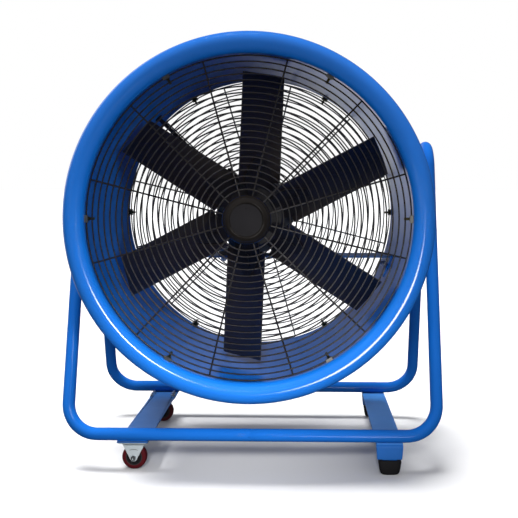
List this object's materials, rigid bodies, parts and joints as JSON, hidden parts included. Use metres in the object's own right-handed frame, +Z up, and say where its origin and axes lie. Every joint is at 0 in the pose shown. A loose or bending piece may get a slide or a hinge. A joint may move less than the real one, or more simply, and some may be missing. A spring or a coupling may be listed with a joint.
{
  "type": "portable drum fan",
  "caption": "Portable axial fan: rolled-lip blue steel drum with black wire grilles, paddle impeller and motor, tilting in a tube stand with castors on one side and rubber feet on the other.",
  "frame": {"origin": "centre of the outer box, on the floor", "axes": "+Z up, the fan faces and blows towards -Y, +X is the right-hand side seen from the front"},
  "size_m": [0.7734, 0.565, 0.8675],
  "materials": {
    "blue_paint": "glossy bright blue powder coat",
    "black_wire": "semi-gloss black coated wire",
    "black_satin": "satin black paint",
    "motor_grey": "dark grey paint",
    "cast_alloy": "as cast",
    "zinc": "bright zinc plate",
    "steel": "machined",
    "copper": "enamelled wire",
    "black_rubber": "moulded rubber",
    "black_plastic": "moulded plastic",
    "red_tread": "dark red polyurethane",
    "grey_plastic": "moulded plastic"
  },
  "bodies": {
    "stand": {"stand_tube_left": "blue_paint", "stand_tube_right": "blue_paint", "tube_sleeves": "zinc", "pivot_plate_left": "blue_paint", "pivot_plate_right": "blue_paint", "castor_plate": "blue_paint", "castor_studs": "zinc", "castor_fork_front": "zinc", "castor_fork_rear": "zinc", "castor_axles": "zinc", "foot_bar": "blue_paint", "rubber_foot_front": "black_rubber", "rubber_foot_rear": "black_rubber"},
    "front_wheel": {"wheel_core_front": "black_plastic", "wheel_tread_front": "red_tread"},
    "rear_wheel": {"wheel_core_rear": "black_plastic", "wheel_tread_rear": "red_tread"},
    "head": {"drum_shell": "blue_paint", "front_bell_ring": "blue_paint", "rear_bell_ring": "blue_paint", "front_grille": "black_wire", "rear_grille": "black_wire", "grille_cap": "black_plastic", "front_grille_clips": "zinc", "rear_grille_clips": "zinc", "grille_screws": "zinc", "motor_plate": "blue_paint", "motor_plate_pads": "blue_paint", "motor_plate_bolts": "zinc", "motor_frame": "motor_grey", "motor_front_shield": "cast_alloy", "motor_rear_shield": "cast_alloy", "motor_bearings": "steel", "motor_stator": "steel", "motor_windings": "copper", "motor_feet": "motor_grey", "motor_foot_bolts": "zinc", "fan_cowl": "black_satin", "terminal_box": "black_plastic", "terminal_box_lid": "black_plastic", "switch_box": "black_plastic", "switch_box_lid": "black_plastic", "rotary_switch": "black_plastic", "run_capacitor": "grey_plastic", "cable_gland": "black_plastic", "mains_inlet_gland": "black_plastic", "motor_cable": "black_rubber", "cable_grommet": "black_rubber", "pivot_boss_right": "blue_paint", "pivot_boss_left": "blue_paint", "pivot_bolts": "zinc", "pivot_washers": "zinc"},
    "impeller": {"impeller_blades": "black_satin", "blade_bolts": "zinc", "impeller_hub": "black_satin", "motor_shaft": "steel", "hub_bolt": "zinc", "motor_rotor": "steel", "cooling_fan": "black_plastic"},
    "knob": {"switch_knob": "black_plastic"}
  },
  "joints": [
    {"name": "drum_tilt", "type": "hinge", "parent": "stand", "child": "head", "pos_m": [0, 0.063, 0.514], "axis": [-1, 0, 0], "range_deg": [-90, 90]},
    {"name": "impeller_spin", "type": "hinge", "parent": "head", "child": "impeller", "pos_m": [0, -0.072, 0.514], "axis": [0, -1, 0], "continuous": true},
    {"name": "front_wheel_spin", "type": "hinge", "parent": "stand", "child": "front_wheel", "pos_m": [-0.2395, -0.124, 0.025], "axis": [0, 1, 0], "continuous": true},
    {"name": "rear_wheel_spin", "type": "hinge", "parent": "stand", "child": "rear_wheel", "pos_m": [-0.2395, 0.224, 0.025], "axis": [0, 1, 0], "continuous": true},
    {"name": "switch_turn", "type": "hinge", "parent": "head", "child": "knob", "pos_m": [-0.24926, 0.078, 0.77556], "axis": [-0.7193, 0, 0.6947], "range_deg": [0, 90]}
  ]
}
